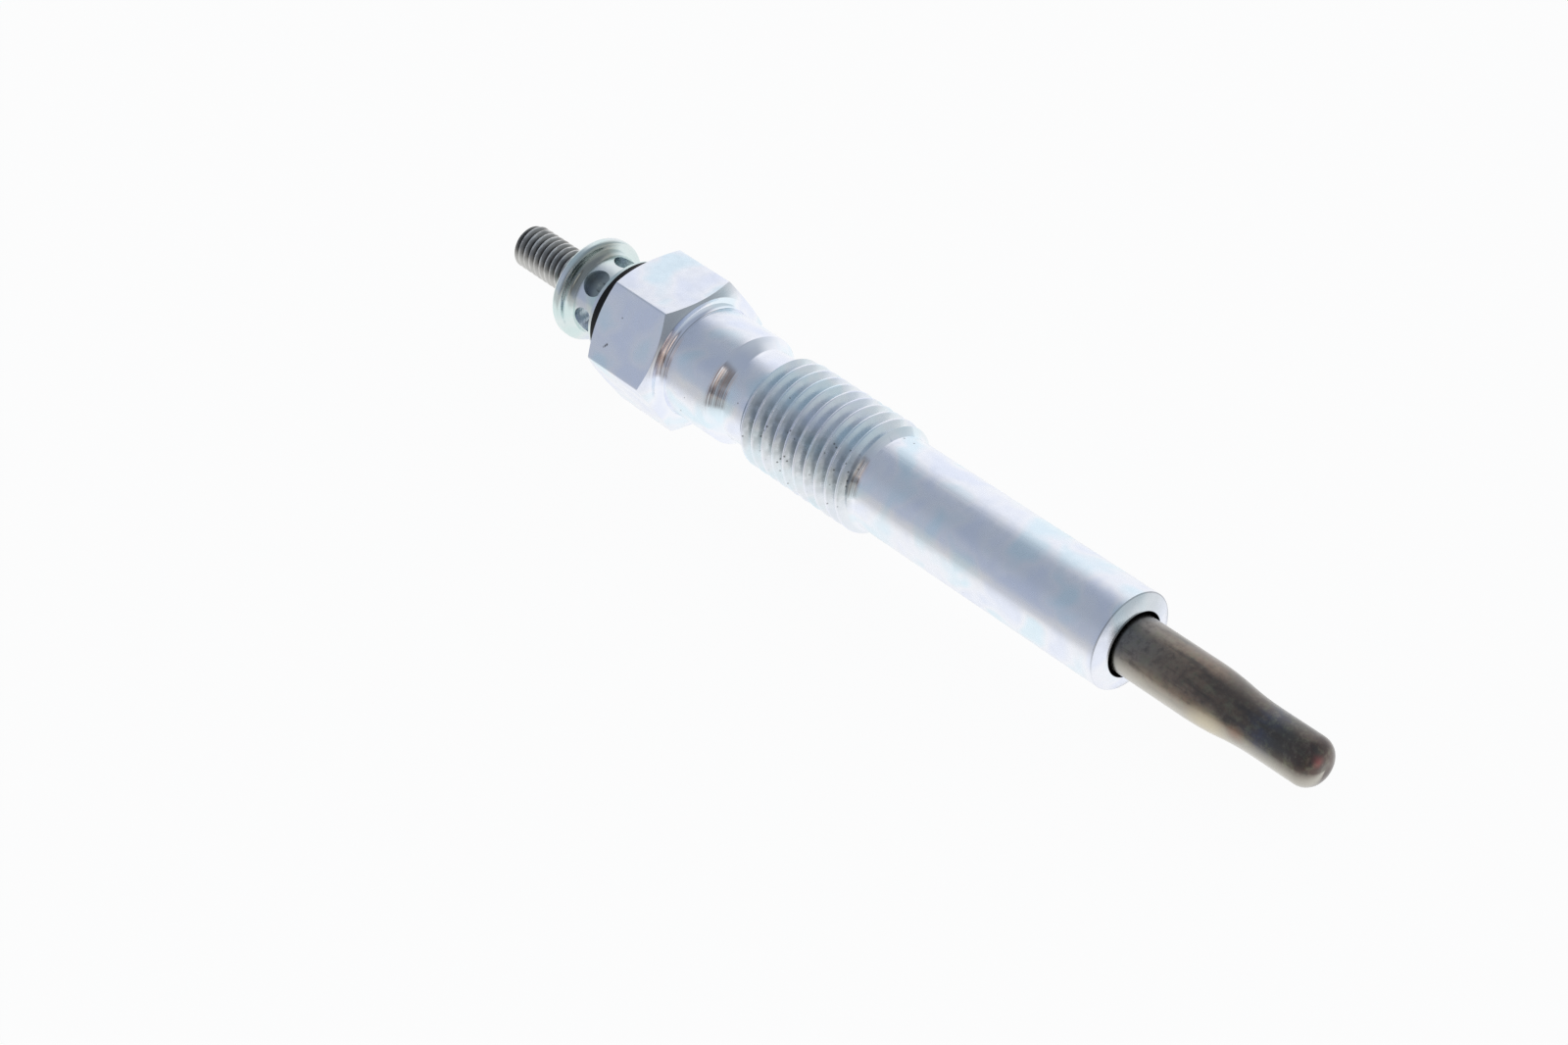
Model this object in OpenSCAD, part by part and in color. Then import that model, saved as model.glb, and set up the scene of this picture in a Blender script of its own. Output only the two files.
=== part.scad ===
// Diesel glow plug: a pencil heater pressed into a screw-in steel shell.
// Each piece is drawn upright on the plug's axis, tip towards +Z, with z = 0 on the front face of the
// hexagon. The whole plug is then laid down as it comes to rest, on a flat of the hexagon and on the
// front edge of the shell, with its tip towards +X.

/* [Hexagon] */
// Width across the flats
hex_af = 12; // [10:0.5:14]
// Length between the two end faces
hex_len = 7.6; // [5:0.1:12]
// Diameter of the circle where the end chamfers start
hex_chamfer_d = 11.6; // [10:0.1:12]
// Slope of the end chamfers
hex_chamfer_angle = 30; // [15:1:45]
// Fillet between the hexagon and the shank
hex_fillet = 0.6; // [0.2:0.05:1]

/* [Shell] */
// Diameter of the plain shank in front of the hexagon
shank_d = 9.9; // [9:0.1:11]
// Length of the shank up to its cone
shank_len = 5.75; // [3:0.05:10]
// Length of the cone from the shank to the relief groove
cone_len = 1; // [0.5:0.05:2]
// Diameter of the relief groove behind the thread
relief_d = 8.3; // [7:0.1:9]
// Major diameter of the screw thread, M10 x 1.25
thread_d = 10; // [8:0.5:12]
// Where the lead-in cone of the thread starts
thread_start = 9.2; // [7:0.05:12]
// Where the run-out cone of the thread ends
thread_end = 22.85; // [15:0.05:30]
// Length of the cone at each end of the thread
thread_cone = 0.85; // [0.4:0.05:1.5]
// Diameter of the body in front of the thread
body_d = 8.4; // [7:0.1:9]
// Where the nose ends
nose_z = 49.2; // [40:0.1:60]
// Length of the sealing cone on the nose
nose_cone = 0.5; // [0.2:0.05:1.5]
// Diameter of the narrow end face inside the sealing cone
nose_face_d = 6.1; // [5.8:0.1:8]

/* [Shell bore] */
// Diameter of the rear bore that takes the bush and the sealing ring
rear_bore_d = 6.4; // [5:0.1:8]
// Diameter of the neck behind which the sealing ring lies
neck_bore_d = 5.1; // [4.9:0.1:5.3]
// Where the neck ends
neck_end = 6; // [2:0.5:10]
// Diameter of the main bore round the electrode
main_bore_d = 5.5; // [5.1:0.1:6]
// Where the press land for the heater tube starts
land_start = 36; // [30:0.5:42]
// Diameter of the clearance round the tube at the nose
mouth_d = 5.6; // [5.1:0.1:6.5]
// Depth of that clearance
mouth_depth = 2; // [0.5:0.1:4]

/* [Heater tube] */
// Outside diameter of the tube and of its press land
tube_d = 5; // [4:0.1:6]
// Wall thickness
tube_wall = 0.5; // [0.3:0.05:0.8]
// Where the rear mouth of the tube lies
tube_start = 30; // [25:0.5:34]
// Where the swaged taper starts
taper_start = 56.2; // [52:0.05:62]
// Where the swaged taper ends
taper_end = 62.4; // [57:0.05:66]
// Outside diameter of the swaged tip
tip_d = 4.12; // [3.2:0.02:5]
// Where the tip ends
tip_end = 68; // [62:0.1:75]
// Thickness of the closed end
tip_wall = 1; // [0.5:0.1:2]
// Rounding of the closed end
tip_round = 1.5; // [0.5:0.05:1.5]

/* [Centre electrode] */
// Major diameter of the terminal stud, M4 x 0.7
stud_d = 4; // [3:0.5:6]
// Where the stud ends
stud_end = -23.7; // [-35:0.05:-18]
// Chamfer on the end of the stud
stud_chamfer = 0.65; // [0.2:0.05:0.8]
// Diameter of the collar that the crimp ring and the bush sit on
collar_d = 4.5; // [4.4:0.1:4.8]
// Diameter of the long rod inside the shell
rod_d = 3; // [2:0.1:4]
// Where the rod starts
rod_start = 5; // [2:0.5:10]
// Diameter of the spigot that carries the coil
spigot_d = 2.4; // [2:0.1:2.8]
// Where the spigot starts
spigot_start = 34.5; // [33.5:0.1:38]
// Where the electrode ends
electrode_end = 40; // [37:0.5:45]
// Length of the cones between these diameters
electrode_cone = 0.5; // [0.2:0.1:2]

/* [Coils] */
// Diameter of both wires
wire_d = 0.36; // [0.2:0.02:0.5]
// Mean diameter of both coils
coil_d = 1.9; // [1.4:0.05:2.2]
// Where the control coil meets the heating coil
coil_join = 53; // [48:0.5:58]
// Pitch of the control coil
control_pitch = 1; // [0.6:0.05:2]
// Pitch of the heating coil
heating_pitch = 0.75; // [0.5:0.05:2]
// Length of the straight leg at each end of a coil
coil_leg = 0.5; // [0.3:0.1:2]
// Radius of the bend between a leg and the turns
coil_bend = 0.3; // [0.2:0.05:0.6]
// Room in the powder on each side of the turns
coil_room = 0.05; // [0.02:0.01:0.1]

/* [Sealing pieces] */
// Length of the seal in the rear mouth of the tube
seal_len = 3; // [1:0.5:5]
// Diameter of the bush's flange
bush_d = 9.5; // [8:0.1:11]
// Thickness of the bush's flange
bush_len = 1.7; // [1:0.05:4]
// Length of the bush's sleeve inside the shell
sleeve_len = 4; // [2:0.1:5]

/* [Crimp ring] */
// Length of the ring
ring_len = 5.35; // [4:0.05:7]
// Diameter of the rear flange
ring_flange_d = 9.36; // [8:0.02:11]
// Thickness of the rear flange
ring_flange_len = 1; // [0.5:0.05:1.5]
// Rounding of the flange's rim
ring_rim_round = 0.35; // [0.1:0.05:0.4]
// Fillet between the flange and the barrel
ring_fillet = 0.7; // [0.3:0.05:1]
// Diameter of the barrel
ring_barrel_d = 7.2; // [6:0.1:8.5]
// Diameter of the front lip
ring_lip_d = 9.1; // [7:0.1:10]
// Thickness of the front lip
ring_lip_len = 0.5; // [0.3:0.05:1]
// Number of crimp dimples
dimple_count = 6; // [4:1:8]
// Diameter of a dimple
dimple_d = 2.5; // [1:0.1:2.8]
// Depth of a dimple
dimple_depth = 0.9; // [0.3:0.05:1]
// Distance from the front lip to the dimples' centres
dimple_pos = 1.75; // [1.3:0.05:2.5]
// Turn of the dimples round the axis
dimple_turn = 35; // [0:1:59]

/* [Hidden] */
$fn = 96;
slack = 1;
wire_sides = 6;
turn_steps = 14;
bend_steps = 3;
drill_point = 0.15;
hex_rear = -hex_len;
bush_rear = hex_rear - bush_len;
ring_rear = bush_rear - ring_len;
sleeve_front = hex_rear + sleeve_len;
o_ring_cord = (rear_bore_d - collar_d) / 2;
neck_start = sleeve_front + o_ring_cord;
seal_front = tube_start + seal_len;
tube_inner_d = tube_d - 2 * tube_wall;
tip_inner_d = tip_d - 2 * tube_wall;
tube_bottom = tip_end - tip_wall;
// Two equal arcs make the swage, so this radius carries them over its length and its step
swage_step = (tube_d - tip_d) / 2;
swage_len = taper_end - taper_start;
swage_r = (swage_len * swage_len + swage_step * swage_step) / 4 / swage_step;
swage_fn = 720;
nose_edge = nose_z - nose_cone;
// Lowest points of the plug at rest: the chamfered front edge of one flat, and the edge of the nose cone
hex_edge = -(hex_af - hex_chamfer_d) / 2 * tan(hex_chamfer_angle);
rest_tilt = atan((hex_af - body_d) / 2 / (nose_edge - hex_edge));
axis_height = hex_af / 2 * cos(rest_tilt) + hex_edge * sin(rest_tilt);
axis_start = -(tip_end + stud_end) / 2 * cos(rest_tilt);
// Slope and turns of a coil, and the angles at which the coils' legs stand
function rise(pitch) = atan(pitch / (PI * coil_d));
function swing(turned) = coil_bend * (1 - cos(turned)) / (coil_d / 2) * 180 / PI;
function first_turn(from, pitch) = from + coil_leg + coil_bend * cos(rise(pitch));
function last_turn(to, pitch) = to - coil_leg - coil_bend * cos(rise(pitch));
function turned(from, to, pitch) = 360 * (last_turn(to, pitch) - first_turn(from, pitch)) / pitch;
function leg_angle(from, to, pitch) = turned(from, to, pitch) + 2 * swing(90 - rise(pitch));
join_angle = leg_angle(electrode_end, coil_join, control_pitch);
end_angle = join_angle + leg_angle(coil_join, tube_bottom, heating_pitch);

// Lays an upright piece down at rest, with a flat of the hexagon facing the floor
module lying() {
    translate([axis_start, 0, axis_height])
        rotate([0, 90 + rest_tilt, 0])
            children();
}

// A round piece on the axis between two stations
module rod(d, from, to) {
    translate([0, 0, from])
        cylinder(d = d, h = to - from);
}

// A cone on the axis between two stations
module cone(d_from, d_to, from, to) {
    translate([0, 0, from])
        cylinder(d1 = d_from, d2 = d_to, h = to - from);
}

// A hexagonal prism whose six corners are turned down to a cone at each end
module chamfered_hexagon() {
    corner_r = hex_af / 2 / cos(30);
    rim_r = corner_r + slack;
    drop = (rim_r - hex_chamfer_d / 2) * tan(hex_chamfer_angle);
    intersection() {
        translate([0, 0, hex_rear])
            rotate(30)
                cylinder(r = corner_r, h = hex_len, $fn = 6);
        rotate_extrude()
            polygon([[0, hex_rear], [hex_chamfer_d / 2, hex_rear], [rim_r, hex_rear + drop],
                     [rim_r, -drop], [hex_chamfer_d / 2, 0], [0, 0]]);
    }
}

// Half section of the shell in front of the hexagon
module stem_section() {
    shank_r = shank_d / 2;
    relief_r = relief_d / 2;
    thread_r = thread_d / 2;
    body_r = body_d / 2;
    cone_end = shank_len + cone_len;
    polygon([[0, -slack], [shank_r, -slack], [shank_r, shank_len],
             [relief_r, cone_end], [relief_r, thread_start],
             [thread_r, thread_start + thread_cone], [thread_r, thread_end - thread_cone],
             [body_r, thread_end], [body_r, nose_edge],
             [nose_face_d / 2, nose_z], [0, nose_z]]);
    difference() {
        translate([shank_r - slack, -slack])
            square([hex_fillet + slack, hex_fillet + slack]);
        translate([shank_r + hex_fillet, hex_fillet])
            circle(r = hex_fillet);
        translate([shank_r, hex_fillet])
            square([hex_fillet + slack, slack]);
    }
}

module shell() {
    color("lightsteelblue") lying() difference() {
        union() {
            chamfered_hexagon();
            rotate_extrude() stem_section();
        }
        rod(rear_bore_d, hex_rear - slack, neck_start);
        rod(neck_bore_d, neck_start - slack, neck_end + slack);
        rod(main_bore_d, neck_end, land_start);
        rod(tube_d, land_start - slack, nose_z);
        rod(mouth_d, nose_z - mouth_depth, nose_z + slack);
    }
}

module insulating_bush() {
    color("black") lying() difference() {
        union() {
            rod(bush_d, bush_rear, hex_rear);
            rod(rear_bore_d, hex_rear - slack, sleeve_front);
        }
        rod(collar_d, bush_rear - slack, sleeve_front + slack);
    }
}

module o_ring() {
    color("dimgray") lying()
        translate([0, 0, sleeve_front + o_ring_cord / 2])
            rotate_extrude()
                translate([(collar_d + o_ring_cord) / 2, 0])
                    circle(d = o_ring_cord);
}

// Half section of the crimp ring: a spool with a rounded rear flange, a barrel and a thin front lip
module ring_section() {
    flange_r = ring_flange_d / 2;
    barrel_r = ring_barrel_d / 2;
    flange_front = ring_rear + ring_flange_len;
    core_r = flange_r - ring_rim_round;
    difference() {
        translate([0, ring_rear])
            square([core_r, ring_flange_len + ring_fillet]);
        translate([barrel_r + ring_fillet, flange_front + ring_fillet])
            circle(r = ring_fillet);
    }
    translate([0, ring_rear + ring_rim_round])
        square([flange_r, ring_flange_len - 2 * ring_rim_round]);
    translate([core_r, ring_rear + ring_rim_round])
        circle(r = ring_rim_round);
    translate([core_r, flange_front - ring_rim_round])
        circle(r = ring_rim_round);
    translate([0, ring_rear])
        square([barrel_r, ring_len]);
    translate([0, bush_rear - ring_lip_len])
        square([ring_lip_d / 2, ring_lip_len]);
}

// One blind dimple, a flat-ended punch mark with a shallow point
module dimple() {
    floor_r = ring_barrel_d / 2 - dimple_depth;
    rotate([0, 90, 0]) {
        translate([0, 0, floor_r])
            cylinder(d = dimple_d, h = dimple_depth + slack);
        translate([0, 0, floor_r - drill_point])
            cylinder(d1 = dimple_d / 4, d2 = dimple_d / 2, h = drill_point + drill_point);
    }
}

module crimp_ring() {
    color("silver") lying() difference() {
        rotate_extrude() ring_section();
        rod(collar_d, ring_rear - slack, bush_rear + slack);
        translate([0, 0, bush_rear - dimple_pos - ring_lip_len])
            for (i = [0 : dimple_count - 1])
                rotate(dimple_turn + i * 360 / dimple_count)
                    dimple();
    }
}

module centre_electrode() {
    color("gray") lying() {
        cone(stud_d - 2 * stud_chamfer, stud_d, stud_end, stud_end + stud_chamfer);
        rod(stud_d, stud_end + stud_chamfer, ring_rear);
        rod(collar_d, ring_rear, rod_start - electrode_cone);
        cone(collar_d, rod_d, rod_start - electrode_cone, rod_start);
        rod(rod_d, rod_start, spigot_start - electrode_cone);
        cone(rod_d, spigot_d, spigot_start - electrode_cone, spigot_start);
        rod(spigot_d, spigot_start, electrode_end);
    }
}

// Half section of the swage: a crowned arc that runs out of the tube, then a hollow one into the tip
module swage_section() {
    tube_r = tube_d / 2;
    tip_r = tip_d / 2;
    middle = (taper_start + taper_end) / 2;
    intersection() {
        translate([0, taper_start])
            square([tube_r, middle - taper_start]);
        translate([tube_r - swage_r, taper_start])
            circle(r = swage_r, $fn = swage_fn);
    }
    difference() {
        translate([0, middle])
            square([tube_r, taper_end - middle]);
        translate([tip_r + swage_r, taper_end])
            circle(r = swage_r, $fn = swage_fn);
    }
}

// Half section of the tube, with its swage and its rounded closed end
module tube_section() {
    tube_r = tube_d / 2;
    tip_r = tip_d / 2;
    difference() {
        union() {
            translate([0, tube_start])
                square([tube_r, taper_start - tube_start]);
            swage_section();
            translate([0, taper_end])
                square([tip_r, tip_end - tip_round - taper_end]);
            translate([0, tip_end - tip_round - slack])
                square([tip_r - tip_round, tip_round + slack]);
            intersection() {
                translate([tip_r - tip_round, tip_end - tip_round])
                    circle(r = tip_round);
                translate([0, tip_end - tip_round - slack])
                    square([tip_r, tip_round + slack]);
            }
        }
        tube_bore_section(tube_start - slack, tube_bottom);
    }
}

// Half section of the space inside the tube between two stations
module tube_bore_section(from, to) {
    polygon([[0, from], [tube_inner_d / 2, from], [tube_inner_d / 2, taper_start],
             [tip_inner_d / 2, taper_end], [tip_inner_d / 2, to], [0, to]]);
}

module sheath_tube() {
    color("rosybrown") lying()
        rotate_extrude() tube_section();
}

module sheath_seal() {
    color("darkred") lying() difference() {
        rod(tube_inner_d, tube_start, seal_front);
        rod(rod_d, tube_start - slack, seal_front + slack);
    }
}

// A wire coil with a straight leg at each end. Its path is a list of stations, each with the angle
// round the axis, the height, and how far the wire has turned from the axis towards the windings.
module coil(from, to, pitch, start_angle) {
    full = 90 - rise(pitch);
    low = first_turn(from, pitch);
    high = last_turn(to, pitch);
    sweep = turned(from, to, pitch);
    steps = ceil(sweep / 360 * turn_steps);
    finish = start_angle + leg_angle(from, to, pitch);
    bends = [for (i = [0 : bend_steps]) full * i / bend_steps];
    path = concat(
        [[start_angle, from, 0]],
        [for (b = bends) [start_angle + swing(b), from + coil_leg + coil_bend * sin(b), b]],
        [for (i = [1 : steps - 1])
            [start_angle + swing(full) + sweep * i / steps, low + (high - low) * i / steps, full]],
        [for (i = [bend_steps : -1 : 0]) let (b = bends[i])
            [finish - swing(b), to - coil_leg - coil_bend * sin(b), b]],
        [[finish, to, 0]]);
    points = [for (p = path, j = [0 : wire_sides - 1])
        let (q = 360 * j / wire_sides,
             out = coil_d / 2 + wire_d / 2 * cos(q),
             side = wire_d / 2 * sin(q) * cos(p[2]))
        [out * cos(p[0]) - side * sin(p[0]),
         out * sin(p[0]) + side * cos(p[0]),
         p[1] - wire_d / 2 * sin(q) * sin(p[2])]];
    rings = len(path);
    sides = [for (i = [0 : rings - 2], j = [0 : wire_sides - 1])
        let (a = i * wire_sides + j,
             b = i * wire_sides + (j + 1) % wire_sides)
        each [[a, a + wire_sides, b + wire_sides], [a, b + wire_sides, b]]];
    first_cap = [for (j = [0 : wire_sides - 1]) j];
    last_cap = [for (j = [wire_sides - 1 : -1 : 0]) (rings - 1) * wire_sides + j];
    polyhedron(points, concat(sides, [first_cap, last_cap]));
}

module control_coil() {
    color("goldenrod") lying()
        coil(electrode_end, coil_join, control_pitch, 0);
}

module heating_coil() {
    color("orangered") lying()
        coil(coil_join, tube_bottom, heating_pitch, join_angle);
}

// The annular space that the turns of one coil take up
module winding_space(from, to) {
    difference() {
        rod(coil_d + wire_d + 2 * coil_room, from + coil_leg, to - coil_leg);
        rod(coil_d - wire_d - 2 * coil_room, from, to);
    }
}

// The straight hole for one leg, or for two that meet
module leg_hole(angle, from, to) {
    rotate(angle)
        translate([coil_d / 2, 0, from])
            cylinder(d = wire_d, h = to - from);
}

module insulating_powder() {
    color("white") lying() difference() {
        rotate_extrude() tube_bore_section(seal_front, tube_bottom);
        rod(rod_d, seal_front - slack, spigot_start - electrode_cone);
        cone(rod_d, spigot_d, spigot_start - electrode_cone, spigot_start);
        rod(spigot_d, spigot_start - electrode_cone, electrode_end);
        winding_space(electrode_end, coil_join);
        winding_space(coil_join, tube_bottom);
        leg_hole(0, electrode_end - coil_leg, electrode_end + 2 * coil_leg);
        leg_hole(join_angle, coil_join - 2 * coil_leg, coil_join + 2 * coil_leg);
        leg_hole(end_angle, tube_bottom - 2 * coil_leg, tube_bottom + coil_leg);
    }
}

shell();
insulating_bush();
o_ring();
crimp_ring();
centre_electrode();
sheath_tube();
sheath_seal();
control_coil();
heating_coil();
insulating_powder();
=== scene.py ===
# %% [markdown]
# A diesel glow plug lies on a white table. The solids of the plug come in as a fixed frame, and this
# lesson dresses them: it cuts the real screw threads, which the solids leave as plain cylinders,
# and gives every piece the finish of its own metal, plastic or rubber.

# %% Load the frame
import math

import bpy
from mathutils import Euler, Matrix, Vector


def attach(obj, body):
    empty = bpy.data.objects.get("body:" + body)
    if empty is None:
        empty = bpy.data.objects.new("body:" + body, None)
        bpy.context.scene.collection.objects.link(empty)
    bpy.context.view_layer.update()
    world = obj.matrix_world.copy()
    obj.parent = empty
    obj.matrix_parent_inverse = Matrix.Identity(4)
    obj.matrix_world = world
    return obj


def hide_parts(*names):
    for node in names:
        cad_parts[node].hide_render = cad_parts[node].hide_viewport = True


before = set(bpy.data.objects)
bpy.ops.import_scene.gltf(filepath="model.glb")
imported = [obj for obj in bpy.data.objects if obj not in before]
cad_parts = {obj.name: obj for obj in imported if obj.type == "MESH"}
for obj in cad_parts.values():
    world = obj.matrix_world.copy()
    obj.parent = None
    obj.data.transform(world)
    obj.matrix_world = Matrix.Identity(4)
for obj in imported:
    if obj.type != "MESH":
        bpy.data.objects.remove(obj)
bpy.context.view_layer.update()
print("nodes", sorted(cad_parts))

# %% [markdown]
# Every piece of the plug is round about one axis. Each new piece is therefore modelled upright on the
# Z axis in millimetres, with zero on the front face of the hexagon and the heater tip upwards.
# One matrix then lays it down where the solids lie: the plug rests on a flat of its hexagon and
# on the edge of its nose, so its axis dips a little towards the tip.

# %% The plug's own measures, in millimetres along the axis from the hexagon's front face
HEX_ACROSS = 12.0
HEX_LENGTH = 7.6
HEX_CHAMFER = 11.6
CHAMFER_SLOPE = math.tan(math.radians(30))
BODY_R = 4.2
NOSE_EDGE = 48.7
NOSE = 49.2
TIP_END = 68.0
RING_REAR = -14.65
STUD_END = -23.7

hex_edge = -(HEX_ACROSS - HEX_CHAMFER) / 2 * CHAMFER_SLOPE
rest_tilt = math.atan((HEX_ACROSS / 2 - BODY_R) / (NOSE_EDGE - hex_edge))
axis_height = HEX_ACROSS / 2 * math.cos(rest_tilt) + hex_edge * math.sin(rest_tilt)
axis_start = -(TIP_END + STUD_END) / 2 * math.cos(rest_tilt)
lay_down = (Matrix.Scale(0.001, 4)
            @ Matrix.Translation((axis_start, 0, axis_height))
            @ Matrix.Rotation(math.radians(90) + rest_tilt, 4, "Y"))
print("the axis dips", round(math.degrees(rest_tilt), 2), "degrees")


# %% [markdown]
# An operator acts on all that is selected, so each helper first picks one object alone. A modifier is
# added, set up and applied at once, and a boolean also takes its tool away.

# %% Helpers that pick, join and lay down
def pick_only(obj):
    bpy.ops.object.select_all(action="DESELECT")
    obj.select_set(True)
    bpy.context.view_layer.objects.active = obj


def apply_modifier(obj, kind, **settings):
    pick_only(obj)
    modifier = obj.modifiers.new(kind.lower(), kind)
    for key, value in settings.items():
        setattr(modifier, key, value)
    bpy.ops.object.modifier_apply(modifier=modifier.name)


def combine(obj, tool, operation):
    apply_modifier(obj, "BOOLEAN", object=tool, operation=operation, solver="EXACT")
    bpy.data.objects.remove(tool)


def lay(obj, name):
    pick_only(obj)
    obj.name = name
    obj.matrix_world = lay_down
    bpy.ops.object.transform_apply(location=True, rotation=True, scale=True)
    bpy.ops.object.shade_smooth_by_angle(angle=math.radians(28))
    print(name, len(obj.data.polygons), "faces, box in mm", [round(v * 1000, 2) for v in obj.dimensions])


# %% [markdown]
# Round pieces are turned on a lathe. The same can be done by hand from a filled circle: extrude it along
# the axis to the next station of the drawing, scale it to the radius there, and go on.

# %% A lathe of extrusions
def turn_on_lathe(stations, sides=160):
    at, radius = stations[0]
    bpy.ops.object.select_all(action="DESELECT")
    bpy.ops.mesh.primitive_circle_add(vertices=sides, radius=radius, fill_type="NGON", location=(0, 0, at))
    obj = bpy.context.object
    bpy.ops.object.transform_apply(location=True)
    bpy.ops.object.mode_set(mode="EDIT")
    bpy.ops.mesh.select_all(action="SELECT")
    for z, r in stations[1:]:
        bpy.ops.mesh.extrude_region_move(TRANSFORM_OT_translate={"value": (0, 0, z - at)})
        bpy.ops.transform.resize(value=(r / radius, r / radius, 1), center_override=(0, 0, z))
        at, radius = z, r
    bpy.ops.mesh.select_all(action="SELECT")
    bpy.ops.mesh.normals_make_consistent(inside=False)
    bpy.ops.object.mode_set(mode="OBJECT")
    return obj


def fillet(z, r, size, steps=6):
    """Stations of a hollow quarter round that runs from a face at z into a shank of radius r."""
    turns = [math.pi / 2 * i / steps for i in range(steps + 1)]
    return [(z + size - size * math.cos(t), r + size - size * math.sin(t)) for t in turns]


# %% [markdown]
# A screw thread is one ridge wound round a core. Its section is a trapezium: a little over 60 degrees
# between the flanks, because the plate fills the roots, and a crest an eighth of the pitch wide,
# rounded so that it shows as a thin bright line. It starts as a plane that is as wide as the foot of the
# ridge, and its outer side is drawn in to the crest.

# %% The section of a ridge
FLANK = math.radians(34)
CREST_SHARE = 1 / 8
SUNK_SHARE = 0.03


def draw_ridge_section(start, pitch, major_r, core_r):
    crest = pitch * CREST_SHARE
    height = major_r - core_r + SUNK_SHARE * pitch
    foot = crest + 2 * height * math.tan(FLANK)
    middle_r = major_r - height / 2
    bpy.ops.object.select_all(action="DESELECT")
    bpy.ops.mesh.primitive_plane_add(size=1, location=(middle_r, 0, start), rotation=(math.pi / 2, 0, 0))
    obj = bpy.context.object
    obj.scale = (height, foot, 1)
    bpy.ops.object.transform_apply(location=True, rotation=True, scale=True)
    bpy.ops.object.mode_set(mode="EDIT")
    bpy.ops.mesh.select_mode(type="VERT")
    bpy.ops.mesh.select_all(action="DESELECT")
    bpy.ops.object.mode_set(mode="OBJECT")
    for vertex in obj.data.vertices:
        vertex.select = vertex.co.x > middle_r
    bpy.ops.object.mode_set(mode="EDIT")
    bpy.ops.transform.resize(value=(1, 1, crest / foot), center_override=(major_r, 0, start))
    bpy.ops.mesh.bevel(offset=crest * 0.45, segments=3, affect="VERTICES")
    bpy.ops.mesh.select_all(action="SELECT")
    bpy.ops.mesh.delete(type="ONLY_FACE")
    bpy.ops.object.mode_set(mode="OBJECT")
    return obj


# %% [markdown]
# The Screw modifier winds that section up. Its two ends are left open, so they are found as the edges that
# belong to one face only, and filled. A closed ridge is what a boolean needs.

# %% A wound ridge
def wind_ridge(start, end, pitch, major_r, core_r):
    obj = draw_ridge_section(start, pitch, major_r, core_r)
    turns = math.ceil((end - start) / pitch)
    apply_modifier(obj, "SCREW", axis="Z", angle=2 * math.pi, screw_offset=pitch, iterations=turns,
                   steps=96, render_steps=96, use_normal_calculate=True)
    bpy.ops.object.mode_set(mode="EDIT")
    bpy.ops.mesh.select_all(action="SELECT")
    bpy.ops.mesh.remove_doubles(threshold=0.0005)
    bpy.ops.mesh.select_all(action="DESELECT")
    bpy.ops.mesh.select_non_manifold()
    bpy.ops.mesh.edge_face_add()
    bpy.ops.mesh.select_all(action="DESELECT")
    bpy.ops.mesh.select_non_manifold()
    bpy.ops.object.mode_set(mode="OBJECT")
    open_edges = sum(edge.select for edge in obj.data.edges)
    bpy.ops.object.mode_set(mode="EDIT")
    bpy.ops.mesh.select_all(action="SELECT")
    bpy.ops.mesh.normals_make_consistent(inside=False)
    bpy.ops.object.mode_set(mode="OBJECT")
    print("ridge of", turns, "turns,", len(obj.data.polygons), "faces,", open_edges, "open edges")
    return obj


# %% [markdown]
# The shell is a piece of hexagon bar. Its hexagon is chamfered on the lathe at both ends, its shank, relief
# groove, thread and body are turned, and it is bored from both ends. A six-sided cylinder cut by a turned
# double cone gives the curved chamfer edges on the flats. The cone reaches a little past the end faces,
# because a boolean is only sure of faces that cross, not of two that lie in one plane.

# %% The hexagon
CORNER_R = HEX_ACROSS / math.sqrt(3)
bpy.ops.object.select_all(action="DESELECT")
bpy.ops.mesh.primitive_cylinder_add(vertices=6, radius=CORNER_R, depth=HEX_LENGTH,
                                    location=(0, 0, -HEX_LENGTH / 2))
shell = bpy.context.object
bpy.ops.object.transform_apply(location=True)
flat = shell.data.polygons[0].normal
shell.rotation_euler = (0, 0, -math.atan2(flat.y, flat.x))
bpy.ops.object.transform_apply(rotation=True)
bpy.ops.object.mode_set(mode="EDIT")
bpy.ops.mesh.select_all(action="DESELECT")
bpy.ops.object.mode_set(mode="OBJECT")
for edge in shell.data.edges:
    a, b = (shell.data.vertices[i].co for i in edge.vertices)
    edge.select = abs(a.z - b.z) > 1
bpy.ops.object.mode_set(mode="EDIT")
bpy.ops.mesh.bevel(offset=0.12, segments=3, affect="EDGES")
bpy.ops.object.mode_set(mode="OBJECT")
rim = CORNER_R + 1
drop = (rim - HEX_CHAMFER / 2) * CHAMFER_SLOPE
past = 0.05
end_r = HEX_CHAMFER / 2 - past / CHAMFER_SLOPE
double_cone = turn_on_lathe([(-HEX_LENGTH - past, end_r), (-HEX_LENGTH + drop, rim),
                             (-drop, rim), (past, end_r)])
combine(shell, double_cone, "INTERSECT")
print("hexagon", len(shell.data.polygons), "faces")

# %% [markdown]
# The turned part is one lathe run from inside the hexagon to the nose. In the threaded stretch it is
# turned to the core of an M10 x 1.25 thread, and the ridge is wound on it afterwards. Cutting the ridge
# with a turned envelope gives the lead-in and the run-out.

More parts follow.
